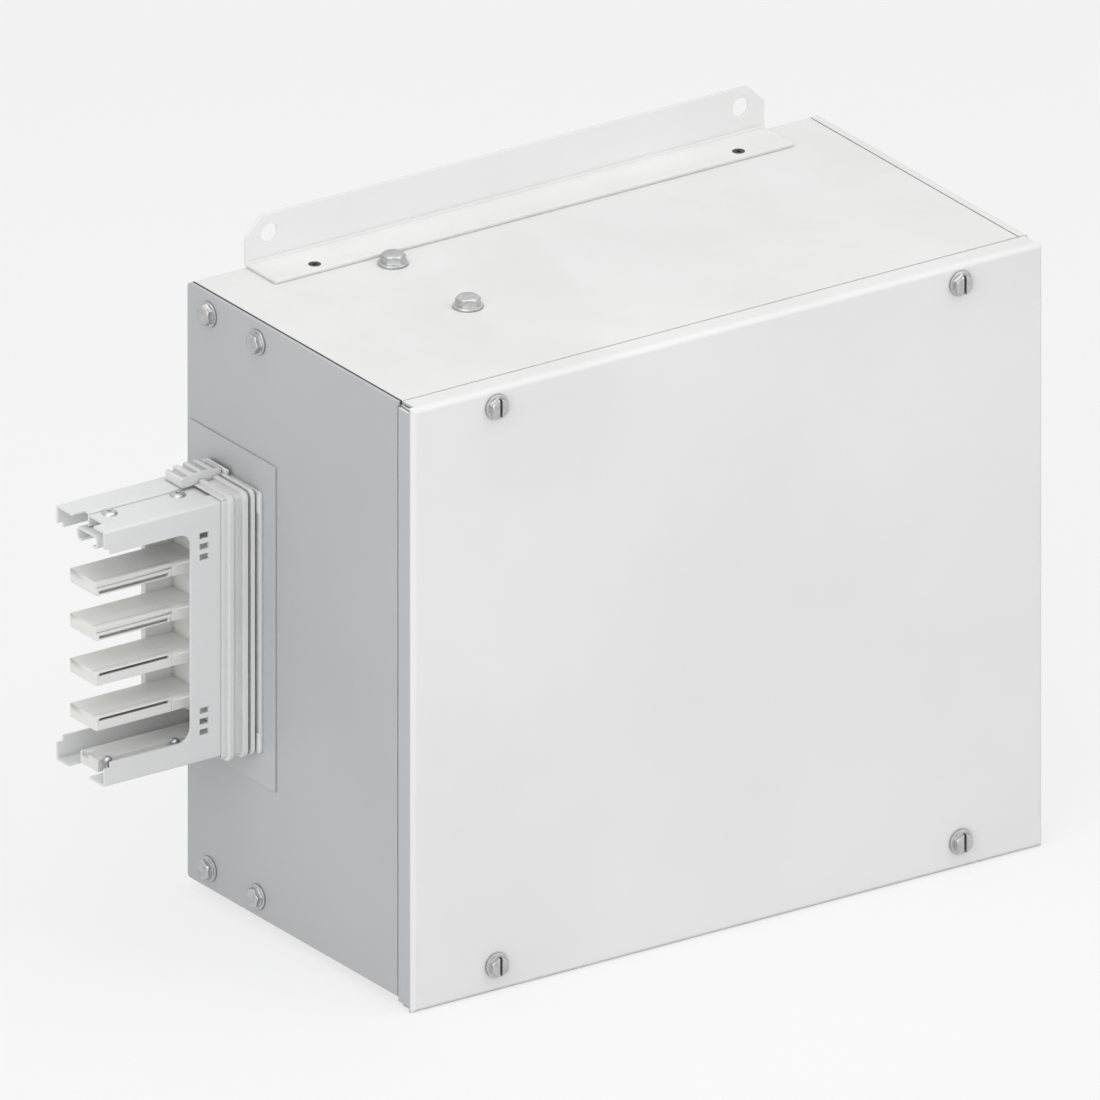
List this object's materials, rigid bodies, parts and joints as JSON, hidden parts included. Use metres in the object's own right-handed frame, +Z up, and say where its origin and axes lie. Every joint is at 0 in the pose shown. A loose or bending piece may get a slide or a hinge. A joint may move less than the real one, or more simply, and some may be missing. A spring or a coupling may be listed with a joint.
{
  "type": "busway tap off box",
  "caption": "Sheet steel busway tap off box with a screwed front cover, a top hanging bracket, and a jointing stub with flat insulated fingers and a ribbed collar on its left end.",
  "frame": {"origin": "midway between the two bracket holes, in the wall plane", "axes": "+X to the right seen from the front, away from the busway stub; +Y back towards the wall; +Z up"},
  "size_m": [0.5064, 0.2154, 0.3729],
  "materials": {
    "white_paint": "satin powder coat",
    "grey_paint": "satin powder coat",
    "surround_paint": "satin powder coat",
    "frame_zinc": "galvanised sheet",
    "black_rubber": "matt closed-cell seal",
    "zinc_screw": "zinc plated",
    "casing_sheet": "satin coated sheet",
    "finger_plastic": "moulded, fine grain",
    "collar_plastic": "moulded, fine grain",
    "inner_plastic": "moulded insulator",
    "copper_bar": "drawn copper",
    "clear_sheet": "clear polycarbonate",
    "gland_aluminium": "milled sheet"
  },
  "bodies": {
    "box": {"bracket_rivets": "zinc_screw", "collar": "collar_plastic", "comb_screws": "zinc_screw", "conductor_bar_1": "copper_bar", "conductor_bar_2": "copper_bar", "conductor_bar_3": "copper_bar", "conductor_bar_4": "copper_bar", "cover_gasket": "black_rubber", "cover_nuts": "zinc_screw", "earth_bar": "copper_bar", "earth_nuts": "zinc_screw", "earth_screws": "zinc_screw", "earth_studs": "zinc_screw", "entry_comb": "inner_plastic", "finger_1": "finger_plastic", "finger_2": "finger_plastic", "finger_3": "finger_plastic", "finger_4": "finger_plastic", "finger_block": "finger_plastic", "front_frame": "frame_zinc", "gland_gasket": "black_rubber", "gland_plate": "gland_aluminium", "gland_screws": "zinc_screw", "left_end_plate": "grey_paint", "left_plate_gasket": "black_rubber", "left_plate_nuts": "zinc_screw", "left_plate_screws": "zinc_screw", "locating_balls": "zinc_screw", "mounting_bracket": "white_paint", "rear_shell": "white_paint", "right_end_plate": "white_paint", "right_plate_gasket": "black_rubber", "right_plate_nuts": "zinc_screw", "right_plate_screws": "zinc_screw", "shield_screws": "zinc_screw", "stub_bottom_block": "finger_plastic", "stub_front_shell": "casing_sheet", "stub_rear_shell": "casing_sheet", "stub_rivets": "zinc_screw", "stub_top_rail": "casing_sheet", "surround_plate": "surround_paint", "terminal_bolts": "zinc_screw", "terminal_comb": "inner_plastic", "terminal_hanger": "frame_zinc", "terminal_nuts": "zinc_screw", "terminal_shield": "clear_sheet", "terminal_washers": "zinc_screw", "top_bolts": "zinc_screw", "top_nuts": "zinc_screw"},
    "cover": {"front_cover": "white_paint", "screw_retainers": "zinc_screw"},
    "latch": {"thumb_latch": "collar_plastic"},
    "screw_1": {"cover_screw_1": "zinc_screw"},
    "screw_2": {"cover_screw_2": "zinc_screw"},
    "screw_3": {"cover_screw_3": "zinc_screw"},
    "screw_4": {"cover_screw_4": "zinc_screw"}
  },
  "joints": [
    {"name": "cover_lift", "type": "slide", "parent": "box", "child": "cover", "axis": [0, -1, 0], "range_m": [0, 0.1]},
    {"name": "cover_screw_1_turn", "type": "hinge", "parent": "cover", "child": "screw_1", "pos_m": [-0.1478, -0.2105, -0.0268], "axis": [0, -1, 0], "continuous": true},
    {"name": "cover_screw_2_turn", "type": "hinge", "parent": "cover", "child": "screw_2", "pos_m": [0.1478, -0.2105, -0.0268], "axis": [0, -1, 0], "continuous": true},
    {"name": "cover_screw_3_turn", "type": "hinge", "parent": "cover", "child": "screw_3", "pos_m": [-0.1478, -0.2105, -0.346], "axis": [0, -1, 0], "continuous": true},
    {"name": "cover_screw_4_turn", "type": "hinge", "parent": "cover", "child": "screw_4", "pos_m": [0.1478, -0.2105, -0.346], "axis": [0, -1, 0], "continuous": true},
    {"name": "latch_slide", "type": "slide", "parent": "box", "child": "latch", "axis": [-1, 0, 0], "range_m": [0, 0.006]}
  ]
}
